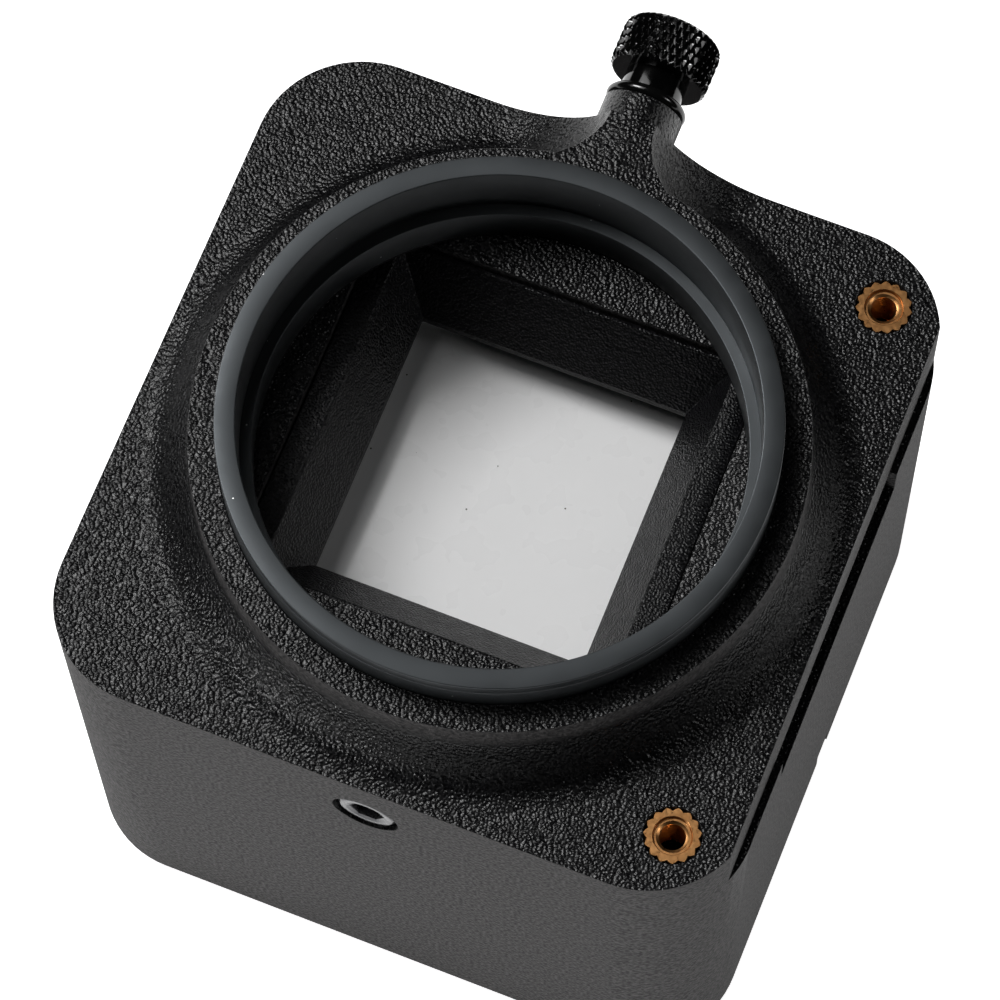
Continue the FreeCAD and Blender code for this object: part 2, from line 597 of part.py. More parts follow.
NODES = {
    "housing": housing,
    "light_seal": light_seal,
    "lens_sleeve": lens_sleeve,
    "adapter_ring": adapter_ring,
    "clamp_insert": clamp_insert,
    "clamp_tip": clamp_tip,
    "clamp_screw": clamp_screw,
    "clamp_head": clamp_head,
    "clamp_o_ring": clamp_o_ring,
    "grub_insert": grub_insert,
    "grub_screw": grub_screw,
    "grub_pad": grub_pad,
    "gate_mask": gate_mask,
    "film_guide_front": lambda: film_guide(-1),
    "film_guide_rear": lambda: film_guide(1),
    "opal_diffuser": opal_diffuser,
    "diffuser_carrier": diffuser_carrier,
    "gate_screws": gate_screws,
    "gate_inserts": gate_inserts,
    "light_tunnel": light_tunnel,
    "base_frame": base_frame,
    "base_screws": base_screws,
    "base_inserts": base_inserts,
    "accessory_inserts": accessory_inserts,
}


def main():
    """Write one STEP file for each node."""
    os.makedirs("parts", exist_ok=True)
    for name, make in NODES.items():
        shape = make()
        if not shape.isValid() or shape.Volume <= 0:
            raise ValueError(name + " is not a valid solid")
        shape.exportStep("parts/" + name + ".step")
        print(f"{name}: {len(shape.Solids)} solid(s), {shape.Volume / 1000:.2f} cm3")


main()
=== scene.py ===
"""Looks of a film copying box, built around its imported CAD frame.

Lengths in this file are millimetres, and MM turns them to metres where they reach Blender. Each
sub-assembly is a class that builds its surfaces with numpy and dresses them with a finish.
"""
import logging
import math
from dataclasses import dataclass, field
from enum import Enum
from typing import Any, Dict, List, Optional, Sequence, Tuple

import bmesh
import bpy
import numpy as np
from mathutils import Matrix, Vector


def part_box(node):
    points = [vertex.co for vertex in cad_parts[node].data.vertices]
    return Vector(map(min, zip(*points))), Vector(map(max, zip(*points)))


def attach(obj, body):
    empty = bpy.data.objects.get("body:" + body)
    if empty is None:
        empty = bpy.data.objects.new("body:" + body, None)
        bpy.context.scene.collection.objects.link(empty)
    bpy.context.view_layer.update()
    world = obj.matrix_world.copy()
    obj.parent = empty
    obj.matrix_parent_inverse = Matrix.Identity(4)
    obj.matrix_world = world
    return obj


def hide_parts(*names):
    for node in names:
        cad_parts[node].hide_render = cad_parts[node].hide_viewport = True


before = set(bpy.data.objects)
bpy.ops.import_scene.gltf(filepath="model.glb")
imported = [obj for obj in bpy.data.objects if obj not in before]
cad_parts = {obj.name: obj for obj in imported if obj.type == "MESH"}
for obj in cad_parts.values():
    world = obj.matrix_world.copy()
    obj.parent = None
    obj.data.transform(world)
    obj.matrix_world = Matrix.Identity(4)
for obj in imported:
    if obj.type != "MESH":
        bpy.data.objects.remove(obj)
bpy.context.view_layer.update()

LOG = logging.getLogger("copying_box")
MM = 0.001
FULL_TURN = 2.0 * math.pi
SAW_PERIOD = FULL_TURN / 20.0     # a Wave texture's period at scale 1
MERGE_GAP = 0.002                 # points closer than this are one point
FLAT_ANGLE = 0.8                  # degrees below which two faces are one flat face
BEVEL_ANGLE = 38.0                # degrees above which an edge is rounded
BEVEL_SEGMENTS = 3
COPY_CREASE = 30.0

Point = Tuple[float, float, float]


class Axis(Enum):
    """Which way a turned part's own height runs, as the rows of its rotation."""

    UP = ((1, 0, 0), (0, 1, 0), (0, 0, 1))
    REAR = ((1, 0, 0), (0, 0, 1), (0, -1, 0))
    FRONT = ((1, 0, 0), (0, 0, -1), (0, 1, 0))


class Body(str, Enum):
    """Bodies of the frame that a piece can ride on."""

    ROOT = "root"
    SLEEVE = "sleeve"
    ADAPTER = "adapter"
    THUMBSCREW = "thumbscrew"
    LOCK_SCREW = "lock_screw"


# ---- surfaces ------------------------------------------------------------------------------------

@dataclass
class Shell:
    """A closed grid surface.

    Columns always wrap round, and rows wrap too unless the shell ends in two poles.
    """

    points: np.ndarray
    poles: Optional[Tuple[Point, Point]] = None

    def parts(self, offset: int) -> Tuple[np.ndarray, List[List[int]]]:
        """Vertices and faces of the shell.

        Args:
            offset: Index that the shell's first vertex gets.

        Returns:
            The vertices in mm, and the faces. A face joins rows i and i+1 with columns j and j+1,
            and each pole closes its row with a fan of triangles.
        """
        rows, columns = self.points.shape[:2]
        index = np.arange(rows * columns).reshape(rows, columns) + offset
        across = np.roll(index, -1, axis=1)
        last = rows if self.poles is None else rows - 1
        upper, upper_across = np.roll(index, -1, axis=0), np.roll(across, -1, axis=0)
        quads = np.stack([index, across, upper_across, upper], axis=-1)[:last].reshape(-1, 4)
        faces = quads.tolist()
        vertices = self.points.reshape(-1, 3)
        if self.poles is not None:
            first, final = offset + rows * columns, offset + rows * columns + 1
            low = np.stack([across[0], index[0], np.full(columns, first)], axis=-1)
            high = np.stack([index[-1], across[-1], np.full(columns, final)], axis=-1)
            faces += low.tolist() + high.tolist()
            vertices = np.concatenate([vertices, np.array(self.poles, float)])
        return vertices, faces


def softened(corners: Sequence[Tuple[float, float]], sizes: Sequence[float],
             steps: int = 5) -> np.ndarray:
    """Rounds the corners of a closed profile.

    Each corner P becomes the curve (1-s)^2 A + 2s(1-s) P + s^2 B, with A and B on its two edges
    at the corner's own size away from P.

    Args:
        corners: (radius, height) points in order.
        sizes: How far each corner's rounding reaches along its edges.
        steps: Points on each corner's curve.

    Returns:
        The rounded profile, steps points for each corner.
    """
    middle = np.array(corners, float)
    reach = np.array(sizes, float)[:, None]

    def toward(other: np.ndarray) -> np.ndarray:
        """The point on the way from each corner to another one, at the corner's size."""
        way = other - middle
        return middle + way / np.linalg.norm(way, axis=1, keepdims=True) * reach

    start, end = toward(np.roll(middle, 1, axis=0)), toward(np.roll(middle, -1, axis=0))
    s = np.linspace(0.0, 1.0, steps)[None, :, None]
    curve = ((1 - s) ** 2 * start[:, None] + 2 * s * (1 - s) * middle[:, None]
             + s ** 2 * end[:, None])
    return curve.reshape(-1, 2)


def turned(radius: np.ndarray, height: np.ndarray, centre: Point, axis: Axis) -> np.ndarray:
    """Carries a profile round an axis: the point at angle a is (r cos a, r sin a, h).

    Args:
        radius: Rows by columns, so that it may change round the turn.
        height: Rows by columns, or one column that holds for the whole turn.
        centre: Where the profile's (0, 0) lies.
        axis: Which way the height runs.

    Returns:
        Rows by columns by 3 points.
    """
    angle = np.linspace(0.0, FULL_TURN, radius.shape[1], endpoint=False)[None, :]
    local = np.stack([radius * np.cos(angle), radius * np.sin(angle),
                      np.broadcast_to(height, radius.shape)], axis=-1)
    return local @ np.array(axis.value, float).T + np.array(centre, float)


def triangle_wave(phase: np.ndarray) -> np.ndarray:
    """A wave of straight ramps, 0 at whole phases and 1 half way between them."""
    return 1.0 - np.abs(2.0 * (phase - np.floor(phase)) - 1.0)


def make_piece(name: str, shells: Sequence[Shell], crease: float = 35.0) -> bpy.types.Object:
    """Puts shells into one mesh object at the origin, faces outwards, smooth but for creases.

    Args:
        name: The piece's name.
        shells: Its closed surfaces.
        crease: Edges that turn more than this many degrees stay sharp.

    Returns:
        The new object.
    """
    vertices: List[np.ndarray] = []
    faces: List[List[int]] = []
    count = 0
    for shell in shells:
        points, joined = shell.parts(count)
        vertices.append(points)
        faces += joined
        count += len(points)
    mesh = bpy.data.meshes.new(name)
    mesh.from_pydata((np.concatenate(vertices) * MM).tolist(), [], faces)
    work = bmesh.new()
    work.from_mesh(mesh)
    bmesh.ops.recalc_face_normals(work, faces=work.faces)
    work.to_mesh(mesh)
    work.free()
    return show_mesh(name, mesh, crease)


def show_mesh(name: str, mesh: bpy.types.Mesh, crease: float) -> bpy.types.Object:
    """Makes the object that shows a mesh, smooth but for its creases.

    Args:
        name: The piece's name.
        mesh: Its mesh.
        crease: Edges that turn more than this many degrees stay sharp.

    Returns:
        The new object.
    """
    mesh.shade_smooth()
    mesh.set_sharp_from_angle(angle=math.radians(crease))
    piece = bpy.data.objects.new(name, mesh)
    bpy.context.scene.collection.objects.link(piece)
    return piece


def softened_copy(name: str, node: str, width: float) -> bpy.types.Object:
    """A copy of a CAD node's mesh with its loose triangles merged and its edges rounded.

    Args:
        name: The new piece's name.
        node: The CAD node.
        width: Width of the rounding along each edge.

    Returns:
        The new object, with a live Bevel modifier.
    """
    work = bmesh.new()
    work.from_mesh(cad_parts[node].data)
    bmesh.ops.remove_doubles(work, verts=work.verts, dist=MERGE_GAP * MM)
    bmesh.ops.dissolve_limit(work, angle_limit=math.radians(FLAT_ANGLE), verts=work.verts,
                             edges=work.edges)
    mesh = bpy.data.meshes.new(name)
    work.to_mesh(mesh)
    work.free()
    piece = show_mesh(name, mesh, COPY_CREASE)
    bevel = piece.modifiers.new("rounding", "BEVEL")
    bevel.width = width * MM
    bevel.segments = BEVEL_SEGMENTS
    bevel.limit_method = "ANGLE"
    bevel.angle_limit = math.radians(BEVEL_ANGLE)
    bevel.use_clamp_overlap = True
    bevel.harden_normals = True
    return piece


# ---- finishes ------------------------------------------------------------------------------------

def linear(hex_value: str) -> Tuple[float, float, float, float]:
    """Turns an sRGB colour to linear.

    Args:
        hex_value: The colour, as a hash and six digits.

    Returns:
        Linear red, green and blue, and an alpha of 1.
    """
    raw = np.array([int(hex_value[i:i + 2], 16) for i in (1, 3, 5)]) / 255.0
    rgb = np.where(raw <= 0.04045, raw / 12.92, ((raw + 0.055) / 1.055) ** 2.4)
    return (*rgb.tolist(), 1.0)


def add(tree: bpy.types.NodeTree, kind: str, inputs: Optional[Dict[Any, Any]] = None,
        **settings: Any) -> bpy.types.Node:
    """Adds one node with its settings and links.

    Args:
        tree: The material's node tree.
        kind: The node's type.
        inputs: A value, or the output to link, for each input by its name or number.
        settings: The node's own properties.

    Returns:
        The new node.
    """
    made = tree.nodes.new(kind)
    for key, value in settings.items():
        setattr(made, key, value)
    for key, value in (inputs or {}).items():
        if isinstance(value, bpy.types.NodeSocket):
            tree.links.new(value, made.inputs[key])
        else:
            made.inputs[key].default_value = value
    return made


@dataclass(frozen=True)
class Finish:
    """A finish with fine relief, two close tones and an uneven gloss.

    Relief and tones come from noise at a real size: grain is the width of one bump, relief its
    height, and patch the width of one lighter or darker area.
    """

    name: str
    tone: str
    second_tone: str
    roughness: float
    unevenness: float = 0.05
    grain: float = 0.3
    relief: float = 0.005
    patch: float = 4.0
    metallic: float = 0.0
    ior: float = 1.5
    coat: float = 0.0
    specular: float = 0.5

    def scale(self, size: float) -> float:
        """The texture scale at which one feature is about this many mm wide."""
        return 1.0 / (size * MM)

    def height(self, tree: bpy.types.NodeTree, place: bpy.types.Node) -> bpy.types.NodeSocket:
        """Height of the relief: noise times its height.

        Args:
            tree: The material's node tree.
            place: The Texture Coordinate node.

        Returns:
            The socket that holds the height in mm.
        """
        grain = add(tree, "ShaderNodeTexNoise", {"Vector": place.outputs["Object"],
                                                 "Scale": self.scale(self.grain), "Detail": 2.0})
        return add(tree, "ShaderNodeMath", {0: grain.outputs["Fac"], 1: self.relief},
                   operation="MULTIPLY").outputs[0]

    def colour(self, tree: bpy.types.NodeTree, place: bpy.types.Node,
               height: bpy.types.NodeSocket) -> bpy.types.NodeSocket:
        """Colour over the surface: the two tones mixed in soft patches.

        Args:
            tree: The material's node tree.
            place: The Texture Coordinate node.
            height: The socket that holds the relief's height; not used.

        Returns:
            The socket that holds the colour.
        """
        patch = add(tree, "ShaderNodeTexNoise", {"Vector": place.outputs["Object"],
                                                 "Scale": self.scale(self.patch), "Detail": 3.0})
        share = add(tree, "ShaderNodeMapRange", {"Value": patch.outputs["Fac"],
                                                 "From Min": 0.3, "From Max": 0.7})
        return add(tree, "ShaderNodeMix", {"Factor": share.outputs["Result"],
                                           6: linear(self.tone), 7: linear(self.second_tone)},
                   data_type="RGBA").outputs[2]

    def gloss(self, tree: bpy.types.NodeTree, place: bpy.types.Node) -> bpy.types.NodeSocket:
        """Roughness over the surface, a little uneven where it was handled.

        Args:
            tree: The material's node tree.
            place: The Texture Coordinate node.

        Returns:
            The socket that holds the roughness.
        """
        handled = add(tree, "ShaderNodeTexNoise", {"Vector": place.outputs["Object"],
                                                   "Scale": self.scale(self.patch * 0.4),
                                                   "Detail": 2.0})
        return add(tree, "ShaderNodeMapRange",
                   {"Value": handled.outputs["Fac"], "From Min": 0.3, "From Max": 0.7,
                    "To Min": self.roughness - self.unevenness,
                    "To Max": self.roughness + self.unevenness}).outputs["Result"]

    def finish_shader(self, shader: bpy.types.Node) -> None:
        """Sets what is the same all over the surface on the shader's own sockets.

        Args:
            shader: The Principled shader.
        """
        shader.inputs["Metallic"].default_value = self.metallic
        shader.inputs["IOR"].default_value = self.ior
        shader.inputs["Coat Weight"].default_value = self.coat
        shader.inputs["Specular IOR Level"].default_value = self.specular

    def build(self) -> bpy.types.Material:
        """Makes the material.

        Returns:
            The new material.
        """
        material = bpy.data.materials.new(self.name)
        material.use_nodes = True
        tree = material.node_tree
        tree.nodes.clear()
        place = add(tree, "ShaderNodeTexCoord")
        height = self.height(tree, place)
        bump = add(tree, "ShaderNodeBump", {"Height": height, "Distance": MM, "Strength": 1.0})
        shader = add(tree, "ShaderNodeBsdfPrincipled",
                     {"Base Color": self.colour(tree, place, height),
                      "Roughness": self.gloss(tree, place), "Normal": bump.outputs["Normal"]})
        self.finish_shader(shader)
        add(tree, "ShaderNodeOutputMaterial", {"Surface": shader.outputs["BSDF"]})
        return material


@dataclass(frozen=True)
class PrintedNylon(Finish):
    """Powder-bed nylon, dyed black and smoothed.

    It has a leathery glossy grain on faces that look up, a duller and softer grain on
    walls, a lighter grey painted on the walls as painted light, and faint contour lines where the
    layers run out on slopes.
    """

    fine_grain: float = 0.3   # grain of walls, drawn coarser than powder so that it shows
    fine_relief: float = 0.05
    layer: float = 0.16       # layer height, drawn coarser than a real one so that it shows
    layer_relief: float = 0.02
    # painted light: the lighter grey that walls get, standing for the light they catch
    painted_light_wall_tone: str = "#2E2D2D"
    wall_roughness: float = 0.62

    def facing_up(self, tree: bpy.types.NodeTree, place: bpy.types.Node,
                  low: float, high: float) -> bpy.types.NodeSocket:
        """How far the surface looks up, by the upward part of its normal.

        Args:
            tree: The material's node tree.
            place: The Texture Coordinate node.
            low: Upward part at which the result is 0.
            high: Upward part at which the result is 1.

        Returns:
            The socket that holds the result.
        """
        part = add(tree, "ShaderNodeSeparateXYZ", {0: place.outputs["Normal"]})
        return add(tree, "ShaderNodeMapRange", {"Value": part.outputs["Z"], "From Min": low,
                                                "From Max": high}).outputs["Result"]

    def height(self, tree: bpy.types.NodeTree, place: bpy.types.Node) -> bpy.types.NodeSocket:
        """Relief: leathery cells and pits above, fine grain on walls, layers on slopes.

        Args:
            tree: The material's node tree.
            place: The Texture Coordinate node.

        Returns:
            The socket that holds the height in mm.
        """
        spot = place.outputs["Object"]
        cells = add(tree, "ShaderNodeTexVoronoi", {"Vector": spot, "Smoothness": 0.6,
                                                   "Scale": self.scale(self.grain)},
                    feature="SMOOTH_F1")
        pits = add(tree, "ShaderNodeTexNoise", {"Vector": spot, "Detail": 3.0,
                                                "Scale": self.scale(self.grain * 0.8)})
        fine = add(tree, "ShaderNodeTexNoise", {"Vector": spot, "Detail": 2.0,
                                                "Scale": self.scale(self.fine_grain)})
        pebble = add(tree, "ShaderNodeMath", {0: cells.outputs["Distance"], 1: -1.0,
                                              2: 1.0}, operation="MULTIPLY_ADD")
        coarse = add(tree, "ShaderNodeMath", {0: pits.outputs["Fac"], 1: 0.45,
                                              2: pebble.outputs[0]}, operation="MULTIPLY_ADD")
        coarse_mm = add(tree, "ShaderNodeMath", {0: coarse.outputs[0], 1: self.relief},
                        operation="MULTIPLY")
        fine_mm = add(tree, "ShaderNodeMath", {0: fine.outputs["Fac"], 1: self.fine_relief},
                      operation="MULTIPLY")
        grain = add(tree, "ShaderNodeMix", {0: self.facing_up(tree, place, 0.05, 0.35),
                                            2: fine_mm.outputs[0], 3: coarse_mm.outputs[0]})
        layers = add(tree, "ShaderNodeTexWave",
                     {"Vector": spot, "Scale": SAW_PERIOD * self.scale(self.layer),
                      "Distortion": 0.0, "Phase Offset": 1.5},
                     wave_type="BANDS", bands_direction="Z", wave_profile="SAW")
        flat = self.facing_up(tree, place, 0.9, 0.995)
        slope = add(tree, "ShaderNodeMath", {0: self.facing_up(tree, place, 0.3, 0.75), 1: flat},
                    operation="SUBTRACT", use_clamp=True)
        shown = add(tree, "ShaderNodeMath", {0: layers.outputs["Fac"], 1: slope.outputs[0]},
                    operation="MULTIPLY")
        return add(tree, "ShaderNodeMath", {0: shown.outputs[0], 1: self.layer_relief,
                                            2: grain.outputs[0]},
                   operation="MULTIPLY_ADD").outputs[0]

    def colour(self, tree: bpy.types.NodeTree, place: bpy.types.Node,
               height: bpy.types.NodeSocket) -> bpy.types.NodeSocket:
        """Black above with lighter grain tips; walls painted greyer, as painted light.

        Args:
            tree: The material's node tree.
            place: The Texture Coordinate node.
            height: The socket that holds the relief's height; not used.

        Returns:
            The socket that holds the colour.
        """
        tips = add(tree, "ShaderNodeTexNoise", {"Vector": place.outputs["Object"], "Detail": 2.0,
                                                "Scale": self.scale(self.grain * 0.7)})
        share = add(tree, "ShaderNodeMapRange", {"Value": tips.outputs["Fac"], "From Min": 0.45,
                                                 "From Max": 0.65})
        top = add(tree, "ShaderNodeMix", {"Factor": share.outputs["Result"],
                                          6: linear(self.tone), 7: linear(self.second_tone)},
                  data_type="RGBA")
        # Painted light: walls get a lighter grey, broken up by noise.
        rough = add(tree, "ShaderNodeTexNoise", {"Vector": place.outputs["Object"], "Detail": 3.0,
                                                 "Scale": self.scale(self.fine_grain)})
        lit = add(tree, "ShaderNodeMapRange", {"Value": rough.outputs["Fac"], "From Min": 0.36,
                                               "From Max": 0.66})
        wall = add(tree, "ShaderNodeMix", {"Factor": lit.outputs["Result"],
                                           6: linear(self.tone),
                                           7: linear(self.painted_light_wall_tone)}, data_type="RGBA")
        # Painted light: the lighter wall grey goes where the surface faces sideways or down.
        return add(tree, "ShaderNodeMix", {"Factor": self.facing_up(tree, place, 0.05, 0.3),
                                           6: wall.outputs[2], 7: top.outputs[2]},
                   data_type="RGBA").outputs[2]

    def gloss(self, tree: bpy.types.NodeTree, place: bpy.types.Node) -> bpy.types.NodeSocket:
        """Roughness: walls, which the vapour reached less, are duller than faces that look up.

        Args:
            tree: The material's node tree.
            place: The Texture Coordinate node.

        Returns:
            The socket that holds the roughness.
        """
        return add(tree, "ShaderNodeMix", {0: self.facing_up(tree, place, 0.05, 0.3),
                                           2: self.wall_roughness,
                                           3: super().gloss(tree, place)}).outputs[0]


@dataclass(frozen=True)
class Specked(Finish):
    """A clean finish with a few specks of dust, as on a plate or ring that has been handled."""

    speck: str = "#F2F2F2"
    speck_spacing: float = 6.0
    speck_size: float = 0.02  # share of the spacing

    def colour(self, tree: bpy.types.NodeTree, place: bpy.types.Node,
               height: bpy.types.NodeSocket) -> bpy.types.NodeSocket:
        """The plain colour, with a speck where the surface passes near a cell's centre.

        Args:
            tree: The material's node tree.
            place: The Texture Coordinate node.
            height: The socket that holds the relief's height.

        Returns:
            The socket that holds the colour.
        """
        plain = super().colour(tree, place, height)
        cells = add(tree, "ShaderNodeTexVoronoi", {"Vector": place.outputs["Object"],
                                                   "Scale": self.scale(self.speck_spacing)})
        near = add(tree, "ShaderNodeMath", {0: cells.outputs["Distance"], 1: self.speck_size},
                   operation="LESS_THAN")
        return add(tree, "ShaderNodeMix", {"Factor": near.outputs[0], 6: plain,
                                           7: linear(self.speck)}, data_type="RGBA").outputs[2]


@dataclass(frozen=True)
class Opal(Specked):
    """Opal acrylic: white, with light passing through its depth."""

    depth: float = 2.0

    def finish_shader(self, shader: bpy.types.Node) -> None:
        """Adds the light that scatters inside the plate.

        Args:
            shader: The Principled shader.
        """
        super().finish_shader(shader)
        shader.inputs["Subsurface Weight"].default_value = 0.1
        shader.inputs["Subsurface Radius"].default_value = (self.depth,) * 3
        shader.inputs["Subsurface Scale"].default_value = MM


# Nylon fused from powder and smoothed in vapour: glossy leathery grain with sparkles.
# Its walls are painted a lighter grey than its tops, as painted light from the surroundings.
HOUSING_NYLON = PrintedNylon("smoothed_printed_nylon", "#050506", "#1B1B1C", 0.27, 0.04,
                             grain=0.4, relief=0.17, fine_grain=0.5, fine_relief=0.3,
                             layer=0.2, layer_relief=0.09, painted_light_wall_tone="#434141",
                             wall_roughness=0.8, specular=0.3)
# The same nylon on the parts of the gate, painted darker as painted shade for the recess it sits
# in, with a finer grain on faces that look up; its walls too are painted a lighter grey as painted
# light.
GATE_NYLON_PAINTED_SHADE = PrintedNylon("gate_printed_nylon_painted_shade", "#030304", "#18181A", 0.34, 0.05, grain=0.32,
                          relief=0.14, fine_grain=0.6, fine_relief=0.3, layer_relief=0.0,
                          painted_light_wall_tone="#1A1A1B", wall_roughness=0.55, specular=0.22)
# Aluminium, bead blasted fine and anodised dark: a soft blue-grey sheen without sparkle.
MATT_ANODISED = Specked("matt_anodised_aluminium", "#36393B", "#3B3E40", 0.4, 0.04, grain=0.09,
                        relief=0.004, patch=9.0, metallic=0.75, speck_spacing=3.2,
                        speck_size=0.03)
# Aluminium, turned bright and anodised black: mirror-like facets.
GLOSS_ANODISED = Finish("gloss_black_anodised_aluminium", "#040404", "#070707", 0.1, 0.03,
                        grain=0.12, relief=0.001, specular=0.75)
# Turned brass, lightly tarnished: warm, with fine tool marks.
BRASS = Finish("turned_brass", "#C8945F", "#B58150", 0.33, 0.06, grain=0.14, relief=0.003,
               patch=1.2, metallic=1.0)
# Nitrile rubber: black with a wet-looking gloss.
RUBBER = Finish("nitrile_rubber", "#080808", "#0C0C0C", 0.16, 0.05, grain=0.2, relief=0.002)
# Steel with black oxide: dark, with dull glints on its edges.
BLACK_STEEL = Finish("black_oxide_steel", "#38383A", "#4A4A4C", 0.26, 0.06, grain=0.1,
                     relief=0.006, patch=1.5, metallic=0.85)
OPAL = Opal("opal_acrylic", "#ECECEC", "#EBEBEB", 0.28, 0.02, grain=0.6, relief=0.001, patch=12.0,
            speck="#4A4844", speck_spacing=4.0, speck_size=0.03)
# White high-impact styrene: smooth and slightly waxy.
STYRENE = Finish("white_styrene", "#E8E8E4", "#DEDED9", 0.38, 0.05, grain=0.5, relief=0.004)
# Pressed wool felt: loose black fibres that scatter light.
FELT = Finish("pressed_felt", "#101010", "#1A1A1A", 0.95, 0.03, grain=0.16, relief=0.05, patch=1.0,
              specular=0.2)
# Machined nylon: off-white and waxy.
PAD_NYLON = Finish("machined_nylon", "#D8D5CA", "#CFCBBE", 0.5, 0.06, grain=0.2, relief=0.006)
# Zinc plated steel: bright and slightly cloudy.
ZINC = Finish("zinc_plated_steel", "#B9BDC2", "#A6A9AD", 0.28, 0.08, grain=0.15, relief=0.004,
              patch=1.5, metallic=1.0)


@dataclass
class Workshop:
    """Keeps one material for each finish, and puts pieces into the frame."""

    made: Dict[str, bpy.types.Material] = field(default_factory=dict)

    def material(self, finish: Finish) -> bpy.types.Material:
        """The material of a finish, made the first time that it is asked for.

        Args:
            finish: The finish.

        Returns:
            Its material.
        """
        if finish.name not in self.made:
            self.made[finish.name] = finish.build()
        return self.made[finish.name]

    def place(self, piece: bpy.types.Object, body: Body, slot: str, finish: Finish,
              *nodes: str) -> None:
        """Dresses a new piece and lets it stand for CAD nodes.

        Args:
            piece: The new object.
            body: The body it rides on.
            slot: The record's material slot; not used.
            finish: What it is made of.
            nodes: The CAD nodes that it replaces.
        """
        piece.data.materials.clear()
        piece.data.materials.append(self.material(finish))
        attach(piece, body.value)
        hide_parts(*nodes)
        LOG.info("piece %s stands for %s on body %s", piece.name, ", ".join(nodes), body.value)

    def dress(self, node: str, finish: Finish) -> None:
        """Gives a CAD node that stays a better material.

        Args:
            node: The CAD node.
            finish: What it is made of.
        """
        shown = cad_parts[node]
        if not shown.material_slots:
            shown.data.materials.append(None)
        for place in shown.material_slots:
            place.link = "OBJECT"
            place.material = self.material(finish)
        LOG.info("node %s keeps its shape, in %s", node, finish.name)


# ---- sub-assemblies ------------------------------------------------------------------------------

@dataclass
class PrintedBody:
    """Printed housing and the parts of the film gate, base and tunnel inside it."""

    edge: float = 0.4         # width that smoothing has rounded off each edge
    gate_edge: float = 0.25

    def build(self, shop: Workshop) -> None:
        """Rounds the printed parts that show and dresses the rest.

        Args:
            shop: The workshop that dresses and places the pieces.
        """
        shop.place(softened_copy("printed_housing", "housing", self.edge), Body.ROOT,
                   "printed_nylon", HOUSING_NYLON, "housing")
        shop.place(softened_copy("funnel_plate", "gate_mask", self.gate_edge), Body.ROOT,
                   "printed_nylon", GATE_NYLON_PAINTED_SHADE, "gate_mask")
        for node in ("film_guide_front", "film_guide_rear", "diffuser_carrier", "base_frame"):
            # The gate's parts take the darker copy of the nylon: painted shade.
            shop.dress(node, GATE_NYLON_PAINTED_SHADE)
        shop.dress("opal_diffuser", OPAL)
        shop.dress("light_tunnel", STYRENE)
        shop.dress("light_seal", FELT)
        for node in ("clamp_insert", "gate_inserts", "base_inserts"):
            shop.dress(node, BRASS)
        for node in ("gate_screws", "base_screws"):
            shop.dress(node, ZINC)
        for node in ("clamp_tip", "grub_pad"):
            shop.dress(node, PAD_NYLON)
        shop.dress("grub_insert", BLACK_STEEL)


@dataclass
class LensRing:
    """Sleeve that the collar clamps, and the flanged adapter that turns in it."""

    segments: int = 256
    bore: float = 32.0
    socket: float = 33.1
    skirt: float = 33.05
    lip: float = 30.6
    ledge_drop: float = 8.9   # from the ring's top down to the ledge
    ledge_gap: float = 0.05
    flange: float = 1.8
    rim: float = 0.16         # rounding of the flange's upper edges
    groove: float = 0.12      # rounding of the two edges beside the parting line
    fine: float = 0.06

    def ring(self, name: str, corners: Sequence[Tuple[float, float]],
             sizes: Sequence[float]) -> bpy.types.Object:
        """A ring turned from a closed profile that is the same all the way round.

        Args:
            name: The piece's name.
            corners: (radius, height) points of the profile.
            sizes: How far each corner's rounding reaches.

        Returns:
            The new object.
        """
        profile = softened(corners, sizes)
        radius = np.repeat(profile[:, :1], self.segments, axis=1)
        shell = Shell(turned(radius, profile[:, 1:], (0, 0, 0), Axis.UP))
        return make_piece(name, [shell], 28.0)

    def build(self, shop: Workshop) -> None:
        """Builds the sleeve and the adapter from the boxes of their CAD nodes.

        Args:
            shop: The workshop that dresses and places the pieces.
        """
        low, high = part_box("lens_sleeve")
        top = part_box("adapter_ring")[1].z / MM
        outer = high.x / MM
        bottom, parting, ledge = low.z / MM, high.z / MM, top - self.ledge_drop
        sleeve = [(self.lip, bottom), (outer, bottom), (outer, parting), (self.socket, parting),
                  (self.socket, ledge), (self.lip, ledge)]
        shop.place(self.ring("clamped_sleeve", sleeve,
                             [0.3, 0.2, self.groove, self.fine, self.fine, 0.12]),
                   Body.SLEEVE, "anodised_ring", MATT_ANODISED, "lens_sleeve")
        under = top - self.flange + self.ledge_gap
        adapter = [(self.bore, ledge + self.ledge_gap), (self.skirt, ledge + self.ledge_gap),
                   (self.skirt, under), (outer, under), (outer, top), (self.bore, top)]
        shop.place(self.ring("lens_adapter", adapter,
                             [0.12, self.fine, self.fine, self.groove, self.rim, self.rim]),
                   Body.ADAPTER, "anodised_ring", MATT_ANODISED, "adapter_ring")


